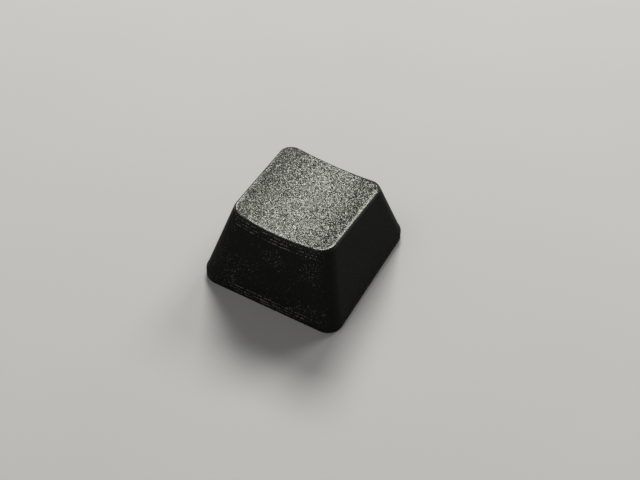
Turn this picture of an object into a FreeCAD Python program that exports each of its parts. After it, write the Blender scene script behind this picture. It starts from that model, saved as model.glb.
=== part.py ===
import FreeCAD, Part
import math
import os

# Keycap for a single square key, hollow below, moulded in one piece.
# X is to the right, Y to the back, Z up; the origin is the middle of the base, on the surface it stands on.
# All sizes are in millimetres.

# Base and skirt
base_width = 18.05          # left to right, at the rim
base_depth = 18.05          # front to back, at the rim
base_corner_radius = 1.95
skirt_height = 1.0          # upright band above the rim
skirt_ledge = 0.06          # step from the skirt in to the sloping walls

# Top, as its outline would be before it is dished
top_width = 13.0
top_depth = 13.7
top_corner_radius = 1.75
top_setback = 0.83          # how far the top stands behind the middle of the base
front_height = 11.28
back_height = 8.85
dish_depth = 0.77           # hollow of the finger dish, across the top
top_edge_radius = 0.25

# Hollow
wall = 1.4
ceiling = 1.5               # between the deepest line of the dish and the hollow
cavity_corner_radius = 0.9

# Post with its cross-shaped socket
post_diameter = 5.5
post_recess = 1.0           # mouth of the post above the rim
socket_length = 4.1         # both arms of the cross
socket_slot_x = 1.3         # width of the arm that runs along X
socket_slot_y = 1.17        # width of the arm that runs along Y
socket_depth = 4.0
socket_lead_in = 0.2        # chamfer at the mouth of the socket

# Ribs from the post to the four walls
rib_thickness = 1.0
rib_drop = 1.6              # how far the ribs hang below the ceiling

# Worked out from the sizes above
tilt = math.atan2(front_height - back_height, top_depth)
middle_height = (front_height + back_height) / 2
dish_radius = (top_width / 2) ** 2 / (2 * dish_depth) + dish_depth / 2
ceiling_drop = dish_depth + ceiling
overshoot = 1.0             # the walls are lofted this far past the top, then trimmed by the dish
reach = base_width + base_depth


def blend(low, high, share):
    return low + (high - low) * share


def outline(width, depth, radius):
    """Closed wire of a rounded rectangle round the origin, in the XY plane."""
    x = width / 2 - radius
    y = depth / 2 - radius
    centres = [(x, y, 0), (-x, y, 90), (-x, -y, 180), (x, -y, 270)]
    arcs = []
    for centre_x, centre_y, start in centres:
        centre = FreeCAD.Vector(centre_x, centre_y, 0)
        points = []
        for turn in (0, 45, 90):
            angle = math.radians(start + turn)
            points.append(centre + FreeCAD.Vector(radius * math.cos(angle), radius * math.sin(angle), 0))
        arcs.append(points)
    edges = []
    for number, points in enumerate(arcs):
        following = arcs[(number + 1) % len(arcs)]
        edges.append(Part.Arc(*points).toShape())
        edges.append(Part.LineSegment(points[-1], following[0]).toShape())
    return Part.Wire(edges)


def raised(wire, height, setback=0.0, slope=0.0):
    """The wire turned about X by a slope, front up, and lifted to a height."""
    turn = FreeCAD.Rotation(FreeCAD.Vector(1, 0, 0), -math.degrees(slope))
    wire.Placement = FreeCAD.Placement(FreeCAD.Vector(0, setback, height), turn)
    return wire


def wall_section(share, inset, radius):
    """Outline of the sloping walls at a share of their height, drawn in by an inset."""
    width = blend(base_width, top_width, share) - 2 * inset
    depth = blend(base_depth, top_depth, share) - 2 * inset
    front = blend(skirt_height, front_height, share)
    back = blend(skirt_height, back_height, share)
    slope = math.atan2(front - back, depth)
    flat = outline(width, depth / math.cos(slope), radius)
    return raised(flat, (front + back) / 2, top_setback * share, slope)


def outer_body():
    skirt = Part.Face(outline(base_width, base_depth, base_corner_radius))
    skirt = skirt.extrude(FreeCAD.Vector(0, 0, skirt_height))
    share = 1 + overshoot / (middle_height - skirt_height)
    foot = wall_section(0, skirt_ledge, base_corner_radius - skirt_ledge)
    crown = wall_section(share, 0, blend(base_corner_radius, top_corner_radius, share))
    walls = Part.makeLoft([foot, crown], True, True)
    return skirt.fuse(walls).removeSplitter()


def dish_tool():
    """Cylinder lying front to back along the sloping top, its lowest line a dish depth below it."""
    axis = FreeCAD.Vector(0, math.cos(tilt), -math.sin(tilt))
    up = FreeCAD.Vector(0, math.sin(tilt), math.cos(tilt))
    middle = FreeCAD.Vector(0, top_setback, middle_height)
    start = middle + up * (dish_radius - dish_depth) - axis * reach / 2
    return Part.makeCylinder(dish_radius, reach, start, axis)


def dished_body():
    """The outer form with its dish, and the edge all round the dish rounded."""
    body = outer_body().cut(dish_tool())
    highest = max(body.Faces, key=lambda face: face.CenterOfMass.z)
    return body.makeFillet(top_edge_radius, highest.OuterWire.Edges)


def cavity():
    """The hollow, from below the rim up to a ceiling that runs along the sloping top."""
    share = (middle_height - ceiling_drop - skirt_height) / (middle_height - skirt_height)
    width = blend(base_width, top_width, share) - 2 * wall
    depth = blend(base_depth, top_depth, share) - 2 * wall
    mouth = outline(base_width - 2 * wall, base_depth - 2 * wall, cavity_corner_radius)
    roof = outline(width, depth / math.cos(tilt), cavity_corner_radius)
    roof = raised(roof, middle_height - ceiling_drop, top_setback * share, tilt)
    return Part.makeLoft([mouth, roof], True, True)


def post(hollow):
    height = middle_height - ceiling_drop / 2 - post_recess
    shaft = Part.makeCylinder(post_diameter / 2, height, FreeCAD.Vector(0, 0, post_recess))
    return shaft.common(hollow)


def ribs(hollow):
    """Thin webs under the ceiling, one along X and one along Y, cut to the hollow."""
    webs = []
    for length_x, length_y in ((reach, rib_thickness), (rib_thickness, reach)):
        corner = FreeCAD.Vector(-length_x / 2, -length_y / 2, 0)
        webs.append(Part.makeBox(length_x, length_y, reach, corner))
    below = Part.makeBox(reach, reach, reach, FreeCAD.Vector(-reach / 2, -reach / 2, -reach))
    below = raised(below, middle_height - ceiling_drop - rib_drop, top_setback, tilt)
    return webs[0].fuse(webs[1]).common(hollow).cut(below)


def socket():
    """Cross-shaped hole up the post, with a lead-in at its mouth."""
    arms = []
    for length_x, length_y in ((socket_length, socket_slot_x), (socket_slot_y, socket_length)):
        corner = FreeCAD.Vector(-length_x / 2, -length_y / 2, post_recess)
        arms.append(Part.makeBox(length_x, length_y, socket_depth, corner))
        flare = []
        for grow, height in ((2 * socket_lead_in, 0), (0, socket_lead_in)):
            x = (length_x + grow) / 2
            y = (length_y + grow) / 2
            corners = [(-x, -y), (x, -y), (x, y), (-x, y), (-x, -y)]
            flare.append(Part.makePolygon([FreeCAD.Vector(a, b, post_recess + height) for a, b in corners]))
        arms.append(Part.makeLoft(flare, True, True))
    return arms[0].fuse(arms[1:])


def keycap():
    hollow = cavity()
    body = dished_body().cut(hollow)
    body = body.fuse([post(hollow), ribs(hollow)])
    return body.cut(socket()).removeSplitter()


os.makedirs("parts", exist_ok=True)
keycap().exportStep("parts/keycap.step")
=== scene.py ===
import bpy
import math
import numpy as np
from mathutils import Matrix, Vector


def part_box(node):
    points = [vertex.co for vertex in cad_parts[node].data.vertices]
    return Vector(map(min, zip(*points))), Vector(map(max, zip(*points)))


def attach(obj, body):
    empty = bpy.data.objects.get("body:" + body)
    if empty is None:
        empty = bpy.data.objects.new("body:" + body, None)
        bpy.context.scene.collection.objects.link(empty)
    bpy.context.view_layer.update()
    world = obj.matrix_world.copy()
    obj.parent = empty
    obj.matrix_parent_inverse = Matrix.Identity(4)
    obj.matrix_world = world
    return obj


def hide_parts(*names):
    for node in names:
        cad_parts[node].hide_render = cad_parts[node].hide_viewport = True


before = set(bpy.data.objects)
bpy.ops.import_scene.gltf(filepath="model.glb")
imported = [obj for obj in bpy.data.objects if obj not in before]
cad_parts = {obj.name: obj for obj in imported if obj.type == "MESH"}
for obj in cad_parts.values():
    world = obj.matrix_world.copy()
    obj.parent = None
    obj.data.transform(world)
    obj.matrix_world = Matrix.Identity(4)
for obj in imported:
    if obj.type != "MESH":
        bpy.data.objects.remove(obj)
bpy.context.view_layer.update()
mm = 0.001


# The cap's outer form and hollow; the size of its base comes from the frame
capShape = {
    "baseCorner": 1.95 * mm,
    "skirtHeight": 1.0 * mm,           # upright band above the rim
    "skirtLedge": 0.06 * mm,           # step in from the skirt to the sloping walls
    "ledgeFall": 0.02 * mm,            # and how much lower its outer edge is
    "topWidth": 13.0 * mm,             # the top's outline, as it would be before it is dished
    "topDepth": 13.7 * mm,
    "topCorner": 1.75 * mm,
    "setback": 0.83 * mm,              # the top stands this far behind the middle of the base
    "frontHeight": 11.28 * mm,
    "backHeight": 8.85 * mm,
    "overshoot": 1.0 * mm,             # the walls run on this far past the top, and the dish trims them
    "dishDepth": 0.77 * mm,
    "edgeRadius": 0.25 * mm,           # rounding of the edge all round the dish
    "rimRadius": 0.04 * mm,            # and of the rim that the cap stands on
    "wall": 1.4 * mm,
    "ceiling": 1.5 * mm,               # between the deepest line of the dish and the hollow
    "hollowCorner": 0.9 * mm,
}
capGrid = {
    "side": 128,                       # steps along one side, from the middle of a corner to the next
    "arc": 14,                         # steps of those in each half corner
    "halvings": 40,                    # used to find where the walls meet the dish
    "edgeRows": 8,                     # rows of faces on the rounded edge
    "lineRows": 24,                    # rows in each band of fine lines
    "wallRows": 34,                    # rows between the two bands
    "bandShare": 0.17,                 # share of the wall that one band takes
    "skirtRows": 14,                   # rows of points down the skirt
    "rimTurns": [30, 60, 90],          # degrees round the rim's small radius
    "rimRows": 3,                      # rows of faces across the rim
    "hollowRows": 8,                   # rows of points up the walls of the hollow
    "sharpAngle": 32,                  # degrees between faces, from where an edge isn't shaded smooth
}
baseLow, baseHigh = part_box("keycap")
baseWidth = baseHigh[0] - baseLow[0]
baseDepth = baseHigh[1] - baseLow[1]
middleHeight = (capShape["frontHeight"] + capShape["backHeight"]) / 2
tilt = math.atan2(capShape["frontHeight"] - capShape["backHeight"], capShape["topDepth"])
dishRadius = (capShape["topWidth"] / 2) ** 2 / (2 * capShape["dishDepth"]) + capShape["dishDepth"] / 2
roofMiddle = middleHeight - (capShape["dishDepth"] + capShape["ceiling"])
roofShare = (roofMiddle - capShape["skirtHeight"]) / (middleHeight - capShape["skirtHeight"])


def mix(low, high, share):
    # Straight blend from low to high.
    return low + (high - low) * share


def smooth(share):
    # Cubic ease from 0 to 1, level at both ends.
    return share * share * (3 - 2 * share)


def outlineLoop(width, depth, radius):
    # A rounded rectangle as four equal runs of steps: half a corner arc, a straight side, half a corner arc.
    # A point is the corner's centre plus the radius times the direction that its turn gives.
    arc = capGrid["arc"]
    straight = capGrid["side"] - 2 * arc
    turn = np.radians(np.concatenate([
        np.linspace(-45, 0, arc, False), np.zeros(straight), np.linspace(0, 45, arc, False)]))
    along = np.concatenate([-np.ones(arc), np.linspace(-1, 1, straight, False), np.ones(arc)])
    facing = np.radians([[0], [90], [180], [270]])      # right, back, left, front
    halfOut = np.array([[width], [depth], [width], [depth]]) / 2
    halfAlong = np.array([[depth], [width], [depth], [width]]) / 2
    outward = halfOut - radius + radius * np.cos(turn)
    sideways = (halfAlong - radius) * along + radius * np.sin(turn)
    x = outward * np.cos(facing) - sideways * np.sin(facing)
    y = outward * np.sin(facing) + sideways * np.cos(facing)
    normal = np.stack([np.cos(turn + facing), np.sin(turn + facing)], -1)
    return x.ravel(), y.ravel(), normal.reshape(-1, 2)


def raisedLoop(loop, height, setback=0.0, slope=0.0):
    # The flat outline turned about X by the slope, front up, then moved back and lifted.
    x, y = loop[0], loop[1]
    return np.stack([x, setback + y * math.cos(slope), height - y * math.sin(slope)], -1)


def wallLoop(share, inset, radius):
    # The wall's outline at a share of its height: every size runs in a straight line from base to top.
    width = mix(baseWidth, capShape["topWidth"], share) - 2 * inset
    depth = mix(baseDepth, capShape["topDepth"], share) - 2 * inset
    front = mix(capShape["skirtHeight"], capShape["frontHeight"], share)
    back = mix(capShape["skirtHeight"], capShape["backHeight"], share)
    slope = math.atan2(front - back, depth)
    loop = outlineLoop(width, depth / math.cos(slope), radius)
    return raisedLoop(loop, (front + back) / 2, capShape["setback"] * share, slope)


def skirtLoop(inset, height):
    # The base's outline, drawn in all round by the inset.
    radius = capShape["baseCorner"] - inset
    return raisedLoop(outlineLoop(baseWidth - 2 * inset, baseDepth - 2 * inset, radius), height)


def dishLift(x):
    # How far the dish stands above the flat sloping top at x: a circle's arc, lowest in the middle.
    return dishRadius - capShape["dishDepth"] - np.sqrt(dishRadius ** 2 - x ** 2)


def dishHeight(x, y):
    # Height of the dish over a point of the floor: the arc across X, carried along the slope.
    lift = dishLift(x)
    along = (y - capShape["setback"] - lift * math.sin(tilt)) / math.cos(tilt)
    return middleHeight - along * math.sin(tilt) + lift * math.cos(tilt)


def roofHeight(y):
    # Height of the hollow's ceiling, a plane that runs along the sloping top.
    return roofMiddle - (y - capShape["setback"] * roofShare) * math.tan(tilt)


def hollowLoops():
    # Rows of the hollow's walls, each ruling straight from the mouth to the ceiling.
    corner = capShape["hollowCorner"]
    wall = capShape["wall"]
    mouth = raisedLoop(outlineLoop(baseWidth - 2 * wall, baseDepth - 2 * wall, corner), 0.0)
    width = mix(baseWidth, capShape["topWidth"], roofShare) - 2 * wall
    depth = mix(baseDepth, capShape["topDepth"], roofShare) - 2 * wall
    roof = outlineLoop(width, depth / math.cos(tilt), corner)
    roof = raisedLoop(roof, roofMiddle, capShape["setback"] * roofShare, tilt)
    rows = np.linspace(0, 1, capGrid["hollowRows"])[:, None, None]
    return mix(mouth, roof, rows)


def edgeLoops(foot, crown, normal):
    # The rulings from foot to crown are halved again and again to find where they meet the dish. There a
    # circle's arc, as a rational curve of second degree, rounds the edge from the dish to the wall.
    low = np.zeros(len(foot))
    high = np.ones(len(foot))
    for halving in range(capGrid["halvings"]):
        middle = (low + high) / 2
        point = mix(foot, crown, middle[:, None])
        above = point[:, 2] > dishHeight(point[:, 0], point[:, 1])
        high = np.where(above, middle, high)
        low = np.where(above, low, middle)
    edge = mix(foot, crown, low[:, None])
    down = foot - edge
    down /= np.linalg.norm(down, axis=1, keepdims=True)
    beside = edge[:, :2] - normal * capShape["edgeRadius"]
    inward = np.column_stack([beside, dishHeight(beside[:, 0], beside[:, 1])]) - edge
    inward /= np.linalg.norm(inward, axis=1, keepdims=True)
    halfAngle = np.arccos(np.sum(down * inward, axis=1)) / 2
    reach = (capShape["edgeRadius"] / np.tan(halfAngle))[:, None]
    onDish = edge + inward * reach
    onDish[:, 2] = dishHeight(onDish[:, 0], onDish[:, 1])
    onWall = edge + down * reach
    weight = np.sin(halfAngle)[:, None]
    share = np.linspace(0, 1, capGrid["edgeRows"] + 1)[:, None, None]
    near = (1 - share) ** 2
    middle = 2 * weight * share * (1 - share)
    far = share ** 2
    return (near * onDish + middle * edge + far * onWall) / (near + middle + far)


def outerLoops():
    # Rows from the edge of the dish down to the rim: rounded edge, sloping wall, ledge, skirt.
    share = 1 + capShape["overshoot"] / (middleHeight - capShape["skirtHeight"])
    ledge = capShape["skirtLedge"]
    foot = wallLoop(0, ledge, capShape["baseCorner"] - ledge)
    crown = wallLoop(share, 0, mix(capShape["baseCorner"], capShape["topCorner"], share))
    normal = outlineLoop(baseWidth, baseDepth, capShape["baseCorner"])[2]
    edge = edgeLoops(foot, crown, normal)
    band = capGrid["bandShare"]
    rows = np.concatenate([
        np.linspace(0, band, capGrid["lineRows"], False),
        np.linspace(band, 1 - band, capGrid["wallRows"], False),
        np.linspace(1 - band, 1, capGrid["lineRows"]),
    ])[1:]
    walls = mix(edge[-1], foot, rows[:, None, None])
    rim = capShape["rimRadius"]
    heights = np.linspace(capShape["skirtHeight"] - capShape["ledgeFall"], rim, capGrid["skirtRows"])
    skirt = [skirtLoop(0.0, height) for height in heights]
    for turn in np.radians(capGrid["rimTurns"]):
        skirt.append(skirtLoop(rim * (1 - math.cos(turn)), rim * (1 - math.sin(turn))))
    return np.concatenate([edge, walls, np.array(skirt)]), normal


def patchPoints(loop):
    # A Coons patch inside a loop: both pairs of facing sides blended across, less the blend of the corners.
    side = capGrid["side"]
    ring = np.concatenate([loop, loop[:1]])
    right = ring[:side + 1]
    back = ring[side:2 * side + 1]
    left = ring[2 * side:3 * side + 1][::-1]
    front = ring[3 * side:][::-1]
    u = np.linspace(0, 1, side + 1)[:, None, None]
    v = np.linspace(0, 1, side + 1)[None, :, None]
    across = mix(right[:, None], left[:, None], v)
    along = mix(front[None], back[None], u)
    corners = mix(mix(right[0], right[-1], u), mix(left[0], left[-1], u), v)
    return (across + along - corners)[1:-1, 1:-1].reshape(-1, 3)


def patchNumbers(ringStart, insideStart):
    # Point numbers of a patch: its rim is the loop that starts at ringStart, its inside is new.
    side = capGrid["side"]
    ring = ringStart + np.append(np.arange(4 * side), 0)
    numbers = np.zeros((side + 1, side + 1), int)
    numbers[:, 0] = ring[:side + 1]
    numbers[-1, :] = ring[side:2 * side + 1]
    numbers[:, -1] = ring[2 * side:3 * side + 1][::-1]
    numbers[0, :] = ring[3 * side:][::-1]
    numbers[1:-1, 1:-1] = insideStart + np.arange((side - 1) ** 2).reshape(side - 1, side - 1)
    return numbers


def quadsOf(numbers):
    # Faces between neighbouring rows and columns of a grid of point numbers.
    corners = [numbers[:-1, :-1], numbers[1:, :-1], numbers[1:, 1:], numbers[:-1, 1:]]
    return np.stack(corners, -1).reshape(-1, 4)


def closedRows(count, width):
    # Point numbers of rows that close on themselves.
    numbers = np.arange(count * width).reshape(count, width)
    return np.concatenate([numbers, numbers[:, :1]], axis=1)


def latticeNoise(points, cell, seed):
    # Smooth noise: chance values on a cubic lattice, blended between the eight corners of each cell.
    size = 64                          # cells before the lattice repeats
    values = np.random.default_rng(seed).uniform(-1, 1, (size, size, size))
    place = points / cell
    corner = np.floor(place).astype(int)
    part = smooth(place - corner)
    total = np.zeros(len(points))
    for step in np.ndindex(2, 2, 2):
        near = np.where(np.array(step) == 1, part, 1 - part).prod(axis=1)
        at = (corner + np.array(step)) % size
        total += near * values[at[:, 0], at[:, 1], at[:, 2]]
    return total


# Fine broken lines along the foot and the top edge of the front wall: real grooves, with painted highlights
# as pale dashes on the crests between them
frontLines = {
    "first": 0.325 * mm,               # first groove, along the wall from the rim or from the dish
    "pitch": 0.45 * mm,
    "count": 4,
    "depth": 0.03 * mm,
    "crestPower": 4,                   # the higher, the narrower the painted highlights on the crests between the grooves
    "frontFrom": 0.75,                 # how far the wall faces the front where the lines fade in,
    "frontFade": 0.2,                  # and how much further where they are full
    "breakCell": 0.8 * mm,             # length of the stretches that come and go
    "dashCell": 0.24 * mm,             # length of the painted highlight dashes on the crests
    "depthMean": 0.6,                  # share of the depth, and how far it changes from stretch to stretch
    "depthSpread": 0.4,
    "stretchMean": 1.0,                # how bright the painted highlight on the crests is, from stretch to stretch
    "stretchSpread": 0.6,
    "dashMean": 0.9,                   # and from dash to dash
    "dashSpread": 0.8,
    "dashMiddle": -0.8 * mm,           # where along X the painted highlight dashes are brightest, and their reach from there
    "dashReach": 8.5 * mm,
    "seed": 11,
}


def lineGrooves(distance):
    # Equal grooves side by side, each one wave of a raised cosine.
    phase = (distance - frontLines["first"]) / frontLines["pitch"]
    inside = (phase > -0.5) & (phase < frontLines["count"] - 0.5)
    return np.where(inside, 0.5 + 0.5 * np.cos(2 * np.pi * phase), 0.0)


def lineCrests(distance):
    # The crests between the grooves: the same wave turned over and raised to a power, so it is narrow. It is
    # the mask of the painted highlights on the crests.
    phase = (distance - frontLines["first"]) / frontLines["pitch"]
    inside = (phase > 0) & (phase < frontLines["count"] - 1)
    return np.where(inside, (0.5 - 0.5 * np.cos(2 * np.pi * phase)) ** frontLines["crestPower"], 0.0)


# Top edge rubbed smooth along the right and at the front left corner, and the top shinier than the walls
edgeWear = {
    "onDish": 0.55 * mm,               # how far the wear runs out on the dish and down the wall
    "onWall": 0.35 * mm,
    "rollDepth": 0.04 * mm,            # how far the rubbed edge has sunk
    "rubbed": [                        # towards X, towards Y, and where on the way there it begins
        (1.0, 0.1, 0.0),
        (-0.9, -0.6, 0.25),
    ],
    "growth": 2,                       # how fast it grows from there on
    "shineOnWall": 0.15 * mm,          # how far the top's shine runs out down the wall
}

# Where painted glints, as pale specks, are frequent: even on the top, in clumps on the walls, most of them
# in front
glintSpecks = {
    "onTop": 0.95,
    "onFront": 0.75,
    "onWalls": 0.1,
    "clumpCell": 2.4 * mm,             # size of the clumps, and how much they stand out
    "clumps": 1.2,
    "seed": 23,
}


def wallMarks(outer, normal):
    # Marks on the rows from the edge of the dish down to the rim, by the distance along the wall from its
    # top and from its foot, and by how far the wall faces the front.
    lines = frontLines
    steps = np.linalg.norm(np.diff(outer, axis=0), axis=2)
    fromTop = np.concatenate([np.zeros((1, outer.shape[1])), np.cumsum(steps, axis=0)])
    fromBase = fromTop[-1] - fromTop
    pastEdge = fromTop - fromTop[capGrid["edgeRows"]]
    facingFront = -normal[:, 1]
    onFront = smooth(np.clip((facingFront - lines["frontFrom"]) / lines["frontFade"], 0, 1))

    def patches(mean, spread, cell, seed):
        # Noise about a mean, at every point of the rows.
        return mean + spread * latticeNoise(outer.reshape(-1, 3), cell, seed).reshape(fromTop.shape)

    breaks = patches(lines["depthMean"], lines["depthSpread"], lines["breakCell"], lines["seed"])
    grooves = (lineGrooves(fromBase) + lineGrooves(fromTop)) * onFront * breaks
    dashes = patches(lines["dashMean"], lines["dashSpread"], lines["dashCell"], lines["seed"] + 1)
    stretches = patches(lines["stretchMean"], lines["stretchSpread"], lines["breakCell"], lines["seed"] + 2)
    # pale dashes on the crests: painted highlights that stand in for glints of light
    pale = np.clip(dashes, 0, 1) * np.clip(stretches, 0, 1)
    fading = 1 - ((outer[:, :, 0] - lines["dashMiddle"]) / lines["dashReach"]) ** 2
    crests = (lineCrests(fromBase) + lineCrests(fromTop)) * onFront
    # where painted glints go, as pale specks: most on the front wall, fewer on the other walls
    glintSpeckled = mix(glintSpecks["onWalls"], glintSpecks["onFront"], onFront)
    glintSpeckled = glintSpeckled * patches(1, glintSpecks["clumps"], glintSpecks["clumpCell"], glintSpecks["seed"])
    grained = np.ones(fromTop.shape)
    grained[-len(capGrid["rimTurns"]) - 1:] = 0          # the rim stays true
    return {
        "sink": grooves * lines["depth"],
        "grained": grained,
        "edgeWear": np.clip(1 - pastEdge / edgeWear["onWall"], 0, 1),
        "topShine": np.clip(1 - pastEdge / edgeWear["shineOnWall"], 0, 1),
        "glintSpeckled": np.clip(glintSpeckled, 0, 1),
        "crestHighlight": crests * pale * np.clip(fading, 0, 1),
    }


def topMarks():
    # Marks inside the dish, by the distance from the nearest side.
    count = np.arange(1, capGrid["side"])
    nearest = np.minimum(count, count[::-1]) * capShape["topWidth"] / capGrid["side"]
    inwards = np.minimum.outer(nearest, nearest)
    return {
        "grained": np.ones(inwards.shape),
        "edgeWear": np.clip(1 - inwards / edgeWear["onDish"], 0, 1),
        "topShine": np.ones(inwards.shape),
        "glintSpeckled": np.full(inwards.shape, glintSpecks["onTop"]),
    }


def rubbedShare(points):
    # How far each point lies towards a rubbed place, from 0 where the wear begins up to 1.
    across = points[:, 0] / capShape["topWidth"]
    along = (points[:, 1] - capShape["setback"]) / capShape["topDepth"]
    rubbed = np.zeros(len(points))
    for onX, onY, begins in edgeWear["rubbed"]:
        rubbed = np.maximum(rubbed, edgeWear["growth"] * (across * onX + along * onY - begins))
    return np.clip(rubbed, 0, 1)


def capSkin():
    # The whole skin: dish, edge, walls, skirt, rim, hollow and ceiling as one closed surface.
    outer, normal = outerLoops()
    hollow = hollowLoops()
    rimShare = np.linspace(0, 1, capGrid["rimRows"] + 1)[1:-1, None, None]
    rim = mix(outer[-1], hollow[0], rimShare)
    loops = np.concatenate([outer, rim, hollow])
    count, width = loops.shape[:2]
    top = patchPoints(loops[0])
    top[:, 2] = dishHeight(top[:, 0], top[:, 1])
    roof = patchPoints(loops[-1])
    points = np.concatenate([loops.reshape(-1, 3), top, roof])
    topStart = count * width
    roofStart = topStart + len(top)
    faces = np.concatenate([
        quadsOf(closedRows(count, width)),
        quadsOf(patchNumbers(0, topStart)),
        quadsOf(patchNumbers((count - 1) * width, roofStart))[:, ::-1],
    ])
    onWalls = wallMarks(outer, normal)
    marks = {name: np.zeros(len(points)) for name in onWalls}
    for name, values in onWalls.items():
        marks[name][:values.size] = values.ravel()
    for name, values in topMarks().items():
        marks[name][topStart:roofStart] = values.ravel()
    marks["edgeWear"] *= rubbedShare(points)
    marks["sink"] += edgeWear["rollDepth"] * marks["edgeWear"] ** 2
    return points, faces.tolist(), marks


def closedTube(loops):
    # Rows of points joined one to the next, with a fan of triangles over each end.
    count, width = loops.shape[:2]
    numbers = closedRows(count, width)
    points = np.concatenate([loops.reshape(-1, 3), loops[0].mean(0)[None], loops[-1].mean(0)[None]])
    firstFan = np.stack([np.full(width, count * width), numbers[0, :-1], numbers[0, 1:]], -1)
    lastFan = np.stack([np.full(width, count * width + 1), numbers[-1, 1:], numbers[-1, :-1]], -1)
    return points, quadsOf(numbers).tolist() + firstFan.tolist() + lastFan.tolist()


# Post under the middle of the top, with its cross-shaped socket
stemPost = {
    "diameter": 5.5 * mm,
    "recess": 1.0 * mm,                # mouth of the post above the rim
    "armLength": 4.1 * mm,
    "slotX": 1.3 * mm,                 # width of the arm along X
    "slotY": 1.17 * mm,                # width of the arm along Y
    "depth": 4.0 * mm,
    "leadIn": 0.2 * mm,                # chamfer at the mouth of the socket
    "edge": 0.06 * mm,                 # rounding of the post's mouth, and degrees round it
    "edgeTurns": [0, 45, 90],
    "sunk": 0.4 * mm,                  # how far the post runs up into the ceiling
    "runSteps": 9,                     # steps along each straight run of the cross
}


def crossLoop(grow, height):
    # Outline of two crossed bars, wider by grow all round: twelve corners joined by straight runs.
    reach = stemPost["armLength"] / 2 + grow
    halfX = stemPost["slotX"] / 2 + grow
    halfY = stemPost["slotY"] / 2 + grow
    firstSix = np.array([
        (reach, -halfX), (reach, halfX), (halfY, halfX), (halfY, reach), (-halfY, reach), (-halfY, halfX)])
    corners = np.concatenate([firstSix, -firstSix])
    runs = np.roll(corners, -1, axis=0) - corners
    share = np.linspace(0, 1, stemPost["runSteps"], False)[None, :, None]
    loop = (corners[:, None] + runs[:, None] * share).reshape(-1, 2)
    return np.column_stack([loop, np.full(len(loop), height)])


def postShell():
    # A round shaft whose mouth runs in to the cross, up the socket and over its floor.
    mouth = stemPost["recess"]
    edge = stemPost["edge"]
    cross = crossLoop(0.0, mouth + stemPost["leadIn"])
    angle = np.arctan2(cross[:, 1], cross[:, 0])
    circle = np.stack([np.cos(angle), np.sin(angle)], -1) * stemPost["diameter"] / 2
    top = np.column_stack([circle, roofHeight(circle[:, 1]) + stemPost["sunk"]])
    rows = [top]
    for turn in np.radians(stemPost["edgeTurns"]):
        shrink = 1 - edge * (1 - math.cos(turn)) / (stemPost["diameter"] / 2)
        height = mouth + edge * (1 - math.sin(turn))
        rows.append(np.column_stack([circle * shrink, np.full(len(circle), height)]))
    rows.append(crossLoop(stemPost["leadIn"], mouth))
    rows.append(cross)
    rows.append(crossLoop(0.0, mouth + stemPost["depth"]))
    return closedTube(np.array(rows))


# Thin webs under the ceiling, from the post out to the walls
ceilingRibs = {
    "thickness": 1.0 * mm,
    "drop": 1.6 * mm,                  # how far they hang below the ceiling
    "edge": 0.1 * mm,                  # rounding of their lower edges
    "edgeSteps": 5,
    "sunk": 0.4 * mm,                  # how far they run up into the ceiling
    "start": 2.2 * mm,                 # inside the post
    "intoWall": 0.5 * mm,
    "wallRow": 6,                      # row of the hollow's walls that they reach out to
    "stations": 6,                     # sections from the post to the wall
}


def ribShell(facing, end):
    # A profile with two rounded lower corners carried outward from the post, its heights along the ceiling.
    half = ceilingRibs["thickness"] / 2
    edge = ceilingRibs["edge"]
    turn = np.radians(np.linspace(0, 90, ceilingRibs["edgeSteps"]))
    sideways = half - edge + edge * np.cos(turn)
    lift = edge - ceilingRibs["drop"] - edge * np.sin(turn)
    sideways = np.concatenate([[half], sideways, -sideways[::-1], [-half]])
    lift = np.concatenate([[ceilingRibs["sunk"]], lift, lift[::-1], [ceilingRibs["sunk"]]])
    out = np.linspace(ceilingRibs["start"], end, ceilingRibs["stations"])[:, None]
    x = out * math.cos(facing) - sideways * math.sin(facing)
    y = out * math.sin(facing) + sideways * math.cos(facing)
    return closedTube(np.stack([x, y, roofHeight(y) + lift], -1))


def ribShells():
    # One rib for each wall: right, back, left, front.
    row = hollowLoops()[ceilingRibs["wallRow"]]
    ends = [row[:, 0].max(), row[:, 1].max(), -row[:, 0].min(), -row[:, 1].min()]
    shells = []
    for quarter, end in enumerate(ends):
        shells.append(ribShell(quarter * math.pi / 2, end + ceilingRibs["intoWall"]))
    return shells


# Slight unevenness of the outer skin
skinRelief = {
    "coarseCell": 1.3 * mm,            # size of its swells, and how far they rise and fall
    "coarse": 0.003 * mm,
    "fineCell": 0.42 * mm,
    "fine": 0.0022 * mm,
    "seed": 5,
}


def meshPiece(name, points, faces):
    # A mesh object at the origin, linked to the scene.
    mesh = bpy.data.meshes.new(name)
    mesh.from_pydata(points.tolist(), [], faces)
    mesh.update()
    piece = bpy.data.objects.new(name, mesh)
    bpy.context.scene.collection.objects.link(piece)
    return piece


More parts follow.
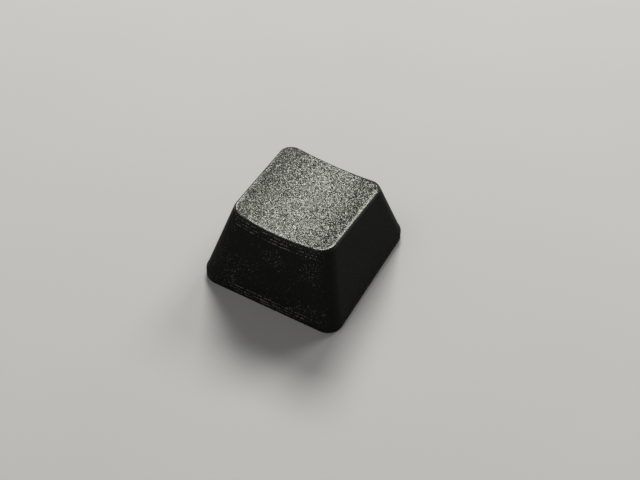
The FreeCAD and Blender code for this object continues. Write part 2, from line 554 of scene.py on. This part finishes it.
def makeCap():
    # Skin, post and ribs in one mesh. Each point of the skin then moves along its normal by the
    # unevenness, less the depth of the grooves and of the rubbed edge.
    points, faces, marks = capSkin()
    sink = marks.pop("sink")
    grained = marks.pop("grained")
    skinCount = len(points)
    for shellPoints, shellFaces in [postShell()] + ribShells():
        start = len(points)
        points = np.concatenate([points, shellPoints])
        faces += [[start + number for number in face] for face in shellFaces]
    piece = meshPiece("keycapSkin", points, faces)
    mesh = piece.data
    normals = np.zeros(len(points) * 3)
    mesh.vertex_normals.foreach_get("vector", normals)
    normals = normals.reshape(-1, 3)[:skinCount]
    skin = points[:skinCount]
    bumps = skinRelief["coarse"] * latticeNoise(skin, skinRelief["coarseCell"], skinRelief["seed"])
    bumps += skinRelief["fine"] * latticeNoise(skin, skinRelief["fineCell"], skinRelief["seed"] + 1)
    points[:skinCount] = skin + normals * (bumps * grained - sink)[:, None]
    mesh.vertices.foreach_set("co", points.ravel())
    mesh.polygons.foreach_set("use_smooth", np.ones(len(mesh.polygons), bool))
    mesh.set_sharp_from_angle(angle=math.radians(capGrid["sharpAngle"]))
    for name, mark in marks.items():
        attribute = mesh.attributes.new(name, "FLOAT", "POINT")
        attribute.data.foreach_set("value", np.concatenate([mark, np.zeros(len(points) - skinCount)]))
    mesh.update()
    return piece


class Socket:
    # A socket of a node tree: sums on it add Math nodes, and node() adds any other node.
    def __init__(self, tree, link=None):
        self.tree = tree
        self.link = link

    def node(self, kind, settings, inputs, output=0):
        made = self.tree.nodes.new(kind)
        for name, value in settings.items():
            setattr(made, name, value)
        for name, value in inputs.items():
            if isinstance(value, Socket):
                self.tree.links.new(value.link, made.inputs[name])
            else:
                made.inputs[name].default_value = value
        if len(made.outputs) == 0:
            return None
        return Socket(self.tree, made.outputs[output])

    def maths(self, operation, first, second):
        return self.node("ShaderNodeMath", {"operation": operation}, {0: first, 1: second})

    def vectors(self, operation, inputs):
        return self.node("ShaderNodeVectorMath", {"operation": operation}, {0: self, **inputs})

    def __add__(self, other):
        return self.maths("ADD", self, other)

    def __radd__(self, other):
        return self.maths("ADD", other, self)

    def __sub__(self, other):
        return self.maths("SUBTRACT", self, other)

    def __rsub__(self, other):
        return self.maths("SUBTRACT", other, self)

    def __mul__(self, other):
        return self.maths("MULTIPLY", self, other)

    def __rmul__(self, other):
        return self.maths("MULTIPLY", other, self)


def newMaterial(name):
    # An empty node tree, as a socket to start from.
    material = bpy.data.materials.new(name)
    material.use_nodes = True
    material.node_tree.nodes.clear()
    return material, Socket(material.node_tree)


def noiseAt(start, place, size, detail):
    # Noise whose lumps are about this size, in metres.
    inputs = {"Vector": place, "Scale": 1 / size, "Detail": detail}
    return start.node("ShaderNodeTexNoise", {"noise_dimensions": "3D"}, inputs, "Fac")


def markAt(start, name):
    # One of the marks kept on the points of the mesh.
    return start.node("ShaderNodeAttribute", {"attribute_name": name}, {}, "Fac")


def mixColours(start, factor, first, second):
    # The colour sockets of a Mix node are its seventh and eighth, and its colour result the third.
    return start.node("ShaderNodeMix", {"data_type": "RGBA"}, {0: factor, 6: first, 7: second}, 2)


blackPlastic = {
    "dark": (0.005, 0.005, 0.0049, 1),
    "light": (0.012, 0.012, 0.0114, 1),
    "swell": 0.62 * mm,                # size and height of the gentle unevenness
    "swellHeight": 0.020 * mm,
    "grain": 0.13 * mm,                # size of the fine changes of tone
    "swellShare": 0.5,                 # share of the tone that follows the swells, not the grain
    "facet": 0.085 * mm,               # size of the sparkling facets, and how far they tip the surface
    "facetTip": 0.33,
    "wornTip": 0.35,                   # share of that tipping left on the worn edge
    # painted glints as pale specks; paler on the walls, which lie in shade, than on the lit top
    "topGlint": (0.11, 0.11, 0.103, 1),
    "wallGlint": (0.22, 0.21, 0.188, 1),
    "speckSize": 0.15 * mm,
    "speckFrom": 0.74,                 # noise level where a painted glint speck begins, and where it is full
    "speckFull": 0.83,
    "speckLift": 0.13,                 # lift of the noise where the skin is marked for painted glint specks
    "crestHighlightLift": 0.34,                 # and for the painted highlights on the crests of the front wall's lines
    "roughness": 0.23,                 # of the top
    "wallRoughness": 1.0,
    "roughnessSpread": 0.10,           # how far the tone changes it
    "specular": 0.27,
    "specularTint": (0.97, 1.0, 0.91, 1),      # faintly yellow green
}


def makePlastic():
    # Black with a mottled tone, and painted glints as pale specks where a fine noise, lifted by the marks,
    # passes a level. Small cells each tip the surface their own way, so that the top sparkles, and gentle
    # swells bend it.
    material, start = newMaterial("blackPlastic")
    place = start.node("ShaderNodeTexCoord", {}, {}, "Object")
    swell = noiseAt(start, place, blackPlastic["swell"], detail=1.0)
    grain = noiseAt(start, place, blackPlastic["grain"], detail=1.0)
    tone = swell * blackPlastic["swellShare"] + grain * (1 - blackPlastic["swellShare"])

    # Facets: a cell's colour, about its middle, is the way it tips.
    facets = {"Vector": place, "Scale": 1 / blackPlastic["facet"]}
    tips = start.node("ShaderNodeTexVoronoi", {"feature": "F1"}, facets, "Color")
    tips = tips.vectors("SUBTRACT", {1: (0.5, 0.5, 0.5)})
    worn = markAt(start, "edgeWear")
    tipping = blackPlastic["facetTip"] * (1 - worn * (1 - blackPlastic["wornTip"]))
    tips = tips.vectors("SCALE", {"Scale": tipping})
    facing = start.node("ShaderNodeNewGeometry", {}, {}, "Normal")
    facing = facing.vectors("ADD", {1: tips}).vectors("NORMALIZE", {})

    # Painted glint specks, painted highlights on the crests, and colour
    shine = markAt(start, "topShine")
    speck = noiseAt(start, place, blackPlastic["speckSize"], detail=2.0)
    speck = speck + markAt(start, "glintSpeckled") * blackPlastic["speckLift"]
    speck = speck + markAt(start, "crestHighlight") * blackPlastic["crestHighlightLift"]
    speck = start.node("ShaderNodeMapRange", {"interpolation_type": "SMOOTHSTEP"}, {
        "Value": speck, "From Min": blackPlastic["speckFrom"], "From Max": blackPlastic["speckFull"]})
    colour = mixColours(start, tone, blackPlastic["dark"], blackPlastic["light"])
    # painted glint specks, paler on the shaded walls than on the lit top
    pale = mixColours(start, shine, blackPlastic["wallGlint"], blackPlastic["topGlint"])
    colour = mixColours(start, speck, colour, pale)

    # Gloss, and the shader
    wallRoughness = blackPlastic["wallRoughness"]
    rough = wallRoughness + shine * (blackPlastic["roughness"] - wallRoughness)
    rough = rough + (tone - 0.5) * blackPlastic["roughnessSpread"]     # a half is the middle tone
    bump = start.node("ShaderNodeBump", {}, {
        "Strength": 1.0, "Distance": blackPlastic["swellHeight"], "Height": swell, "Normal": facing})
    shader = start.node("ShaderNodeBsdfPrincipled", {}, {
        "Base Color": colour, "Roughness": rough, "Normal": bump,
        "Specular IOR Level": blackPlastic["specular"], "Specular Tint": blackPlastic["specularTint"]})
    start.node("ShaderNodeOutputMaterial", {}, {"Surface": shader})
    return material


cap = makeCap()
cap.data.materials.append(makePlastic())
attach(cap, "root")
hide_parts("keycap")
print("cap skin:", len(cap.data.vertices), "points,", len(cap.data.polygons), "faces")


# Floor, softboxes and world light
floorSheet = {
    "reach": 3.0,                      # metres from the middle to each side
    "steps": 4,                        # points along each side
    "pale": (0.485, 0.48, 0.49, 1),
    "deep": (0.46, 0.455, 0.465, 1),
    "cloud": 30 * mm,                  # size of the changes between the two
    "roughness": 0.9,
    "specular": 0.1,
}


def makeFloor():
    # A flat square grid.
    line = np.linspace(-floorSheet["reach"], floorSheet["reach"], floorSheet["steps"])
    y, x = np.meshgrid(line, line, indexing="ij")
    points = np.stack([x.ravel(), y.ravel(), np.zeros(x.size)], -1)
    numbers = np.arange(x.size).reshape(x.shape).T
    floor = meshPiece("floor", points, quadsOf(numbers).tolist())
    material, start = newMaterial("paleFloor")
    place = start.node("ShaderNodeTexCoord", {}, {}, "Object")
    cloud = noiseAt(start, place, floorSheet["cloud"], detail=3.0)
    colour = mixColours(start, cloud, floorSheet["deep"], floorSheet["pale"])
    shader = start.node("ShaderNodeBsdfPrincipled", {}, {
        "Base Color": colour, "Roughness": floorSheet["roughness"],
        "Specular IOR Level": floorSheet["specular"]})
    start.node("ShaderNodeOutputMaterial", {}, {"Surface": shader})
    floor.data.materials.append(material)


studio = {
    "aim": Vector((0.0, 0.0, 6 * mm)),
    "lampTone": (1.0, 1.0, 0.93),
    "worldTone": (0.10, 0.10, 0.10, 1),
}
# Each softbox has a direction from the aim, sizes in metres and a power in watts
softboxes = {
    "backBox": {
        "towards": (-0.315, 0.685, 0.66), "away": 0.62, "width": 0.22, "height": 0.19, "power": 4.2},
    "sideBox": {
        "towards": (0.21, 0.758, 0.616), "away": 0.62, "width": 0.17, "height": 0.17, "power": 1.2},
    "topBox": {
        "towards": (-0.28, -0.27, 0.92), "away": 0.60, "width": 0.30, "height": 0.30, "power": 0.6},
}


def makeSoftbox(name, box):
    # A rectangular lamp that faces the aim.
    lamp = bpy.data.lights.new(name, "AREA")
    lamp.shape = "RECTANGLE"
    lamp.size = box["width"]
    lamp.size_y = box["height"]
    lamp.energy = box["power"]
    lamp.color = studio["lampTone"]
    holder = bpy.data.objects.new(name, lamp)
    towards = Vector(box["towards"]).normalized()
    holder.location = studio["aim"] + towards * box["away"]
    holder.rotation_euler = towards.to_track_quat("Z", "Y").to_euler()
    bpy.context.scene.collection.objects.link(holder)


def makeWorld():
    # Dim even light from all round.
    world = bpy.data.worlds.new("studioWorld")
    world.use_nodes = True
    world.node_tree.nodes["Background"].inputs["Color"].default_value = studio["worldTone"]
    bpy.context.scene.world = world


makeFloor()
for name, box in softboxes.items():
    makeSoftbox(name, box)
makeWorld()
print("floor and", len(softboxes), "softboxes placed")


# Camera, from the front right and above
photoCamera = {
    "azimuth": 28.19,                  # degrees to the right of the front
    "elevation": 53.09,
    "roll": 0.80,
    "distance": 239.27 * mm,
    "aimRight": 1.879 * mm,            # the picture's middle, from the middle of the base
    "aimUp": 1.566 * mm,
    "lens": 112.62,                    # with a sensor 36 mm wide
    "clipStart": 10 * mm,
}


def makeCamera():
    # Back points from the cap to the camera; right and up are the picture's own, turned by the roll.
    azimuth = math.radians(photoCamera["azimuth"])
    elevation = math.radians(photoCamera["elevation"])
    level = math.cos(elevation)
    back = Vector((math.sin(azimuth) * level, -math.cos(azimuth) * level, math.sin(elevation)))
    right = Vector((0, 0, 1)).cross(back).normalized()
    up = back.cross(right)
    turned = Matrix.Rotation(math.radians(photoCamera["roll"]), 3, back)
    right = turned @ right
    up = turned @ up
    lens = bpy.data.cameras.new("photoCamera")
    lens.lens = photoCamera["lens"]
    lens.clip_start = photoCamera["clipStart"]
    camera = bpy.data.objects.new("photoCamera", lens)
    place = right * photoCamera["aimRight"] + up * photoCamera["aimUp"] + back * photoCamera["distance"]
    axes = Matrix((right, up, back)).transposed()
    camera.matrix_world = Matrix.Translation(place) @ axes.to_4x4()
    bpy.context.scene.collection.objects.link(camera)
    bpy.context.scene.camera = camera


makeCamera()
bpy.context.scene.view_settings.view_transform = "Standard"
print("camera set")
